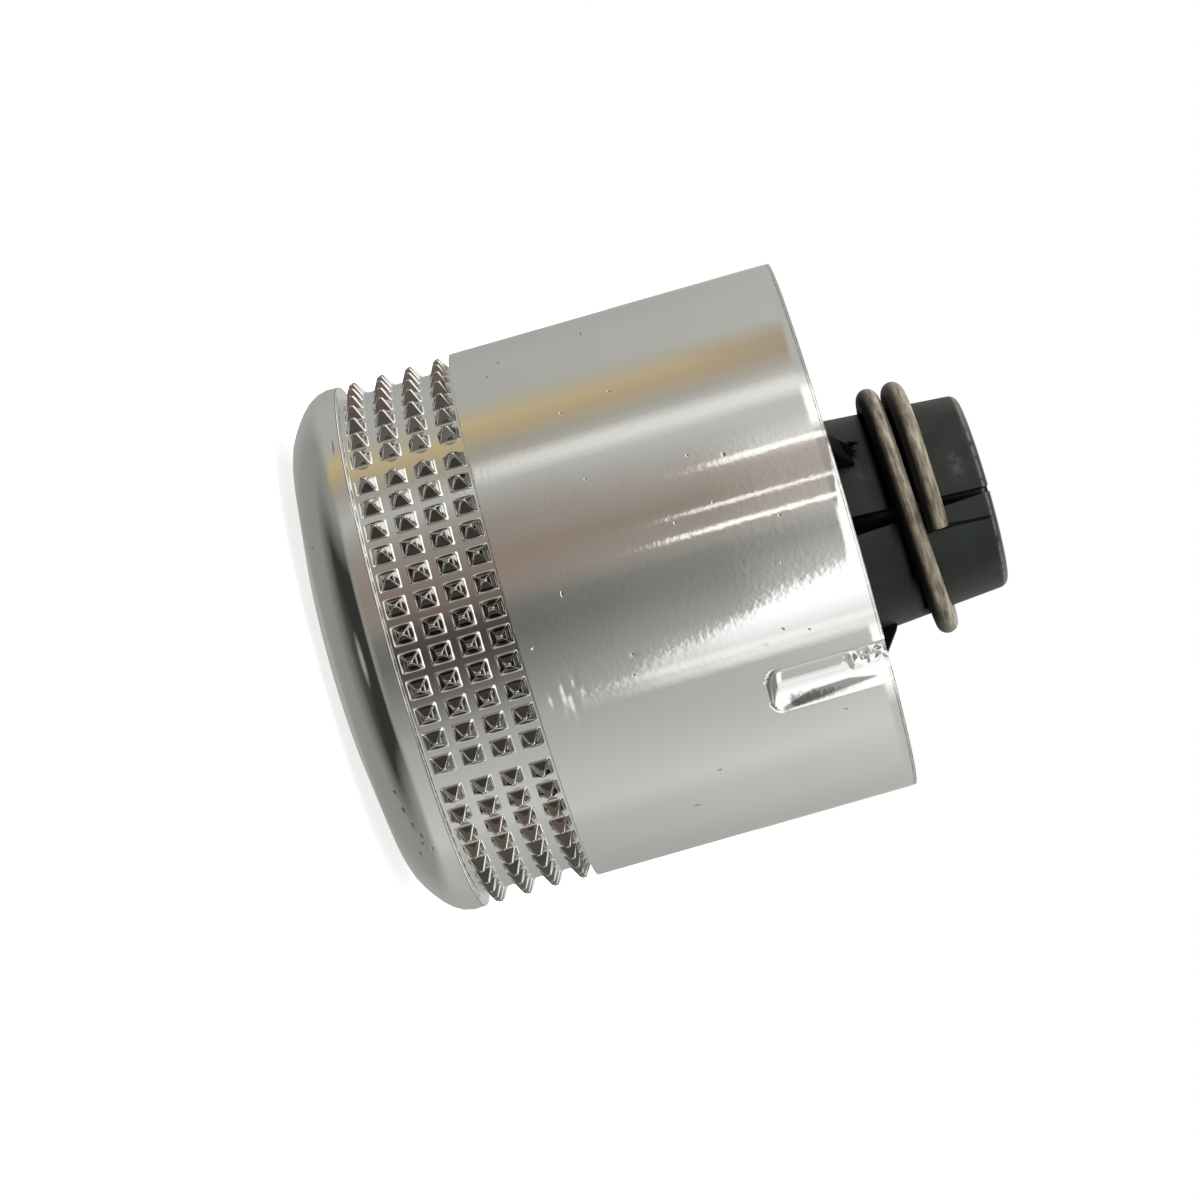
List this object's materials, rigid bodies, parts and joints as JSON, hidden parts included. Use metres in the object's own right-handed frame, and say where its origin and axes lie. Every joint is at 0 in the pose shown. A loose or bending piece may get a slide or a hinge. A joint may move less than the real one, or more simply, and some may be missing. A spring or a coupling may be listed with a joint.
{
  "type": "volume knob",
  "caption": "Round push-on volume knob: plated cap with a diamond-knurled grip band and pointer notch, and a split collet hub squeezed by a spring ring.",
  "frame": {"origin": "centre of the flat in the middle of the front face, which the knob stands on", "axes": "+Z along the shaft's axis from the front face to the mouth of the collet, and the pointer notch faces -Y"},
  "size_m": [0.025, 0.025, 0.0306],
  "materials": {
    "plating": "satin, with a faint orange peel and small dents",
    "hub_plastic": "moulded, matte",
    "spring_wire": "drawn wire, tarnished, with specks of rust"
  },
  "bodies": {
    "root": {"shell": "plating", "hub": "hub_plastic", "spring_ring": "spring_wire"}
  },
  "joints": []
}
